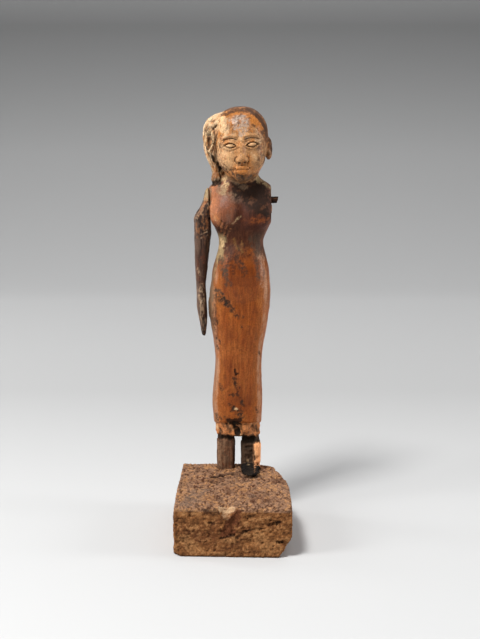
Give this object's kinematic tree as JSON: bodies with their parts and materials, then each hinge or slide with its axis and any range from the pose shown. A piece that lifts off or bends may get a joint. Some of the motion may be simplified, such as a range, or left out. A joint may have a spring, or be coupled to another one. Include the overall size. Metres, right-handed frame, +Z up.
{
  "type": "carved wooden female figurine on a base",
  "caption": "Carved wooden standing woman with a sidelock and a long sheath dress, one arm and the feet lost, on a rough wooden block.",
  "frame": {"origin": "on the floor, under the middle of the base block", "axes": "+Z up along the figure, -Y the way the figure faces, +X towards the figure's left side"},
  "size_m": [0.0441, 0.0732, 0.1633],
  "materials": {
    "base_wood": "rough, weathered, unpolished",
    "body_wood": "worn, hand polished, with dark stains",
    "arm_wood": "dark, worn, satin",
    "peg_wood": "dark, broken end grain"
  },
  "bodies": {
    "root": {"base_block": "base_wood", "figure_body": "body_wood", "right_arm": "arm_wood", "left_shoulder_peg": "peg_wood"}
  },
  "joints": []
}
